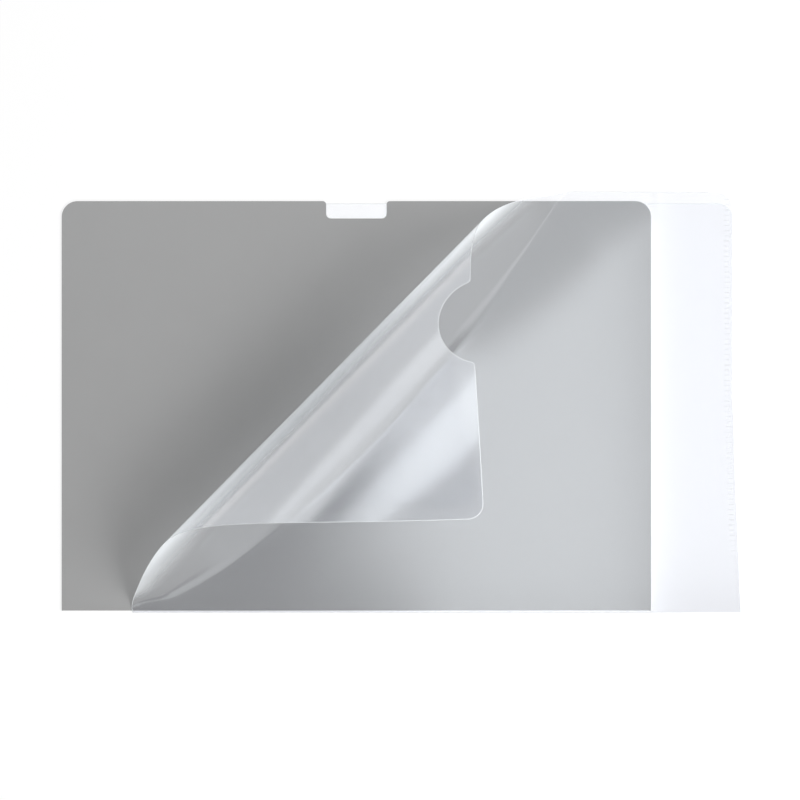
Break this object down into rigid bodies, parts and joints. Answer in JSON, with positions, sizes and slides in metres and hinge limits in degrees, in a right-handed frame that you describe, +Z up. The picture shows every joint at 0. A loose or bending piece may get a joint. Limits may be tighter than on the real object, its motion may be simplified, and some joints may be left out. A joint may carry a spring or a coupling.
{
  "type": "laptop privacy filter",
  "caption": "Thin grey laptop privacy filter panel with a camera notch, lying partly out of a clear folded storage sleeve whose front leaf is peeled back in a roll.",
  "frame": {"origin": "middle of the outline seen from above, on the table under the sleeve's back leaf", "axes": "+X along the screen's width towards the welded side, +Y towards the camera notch, +Z up from the table"},
  "size_m": [0.3551, 0.2201, 0.0704],
  "materials": {
    "louver_film": "matte micro-louver film",
    "clear_film": "clear gloss sheet"
  },
  "bodies": {
    "root": {"privacy_panel": "louver_film", "storage_sleeve": "clear_film"}
  },
  "joints": []
}
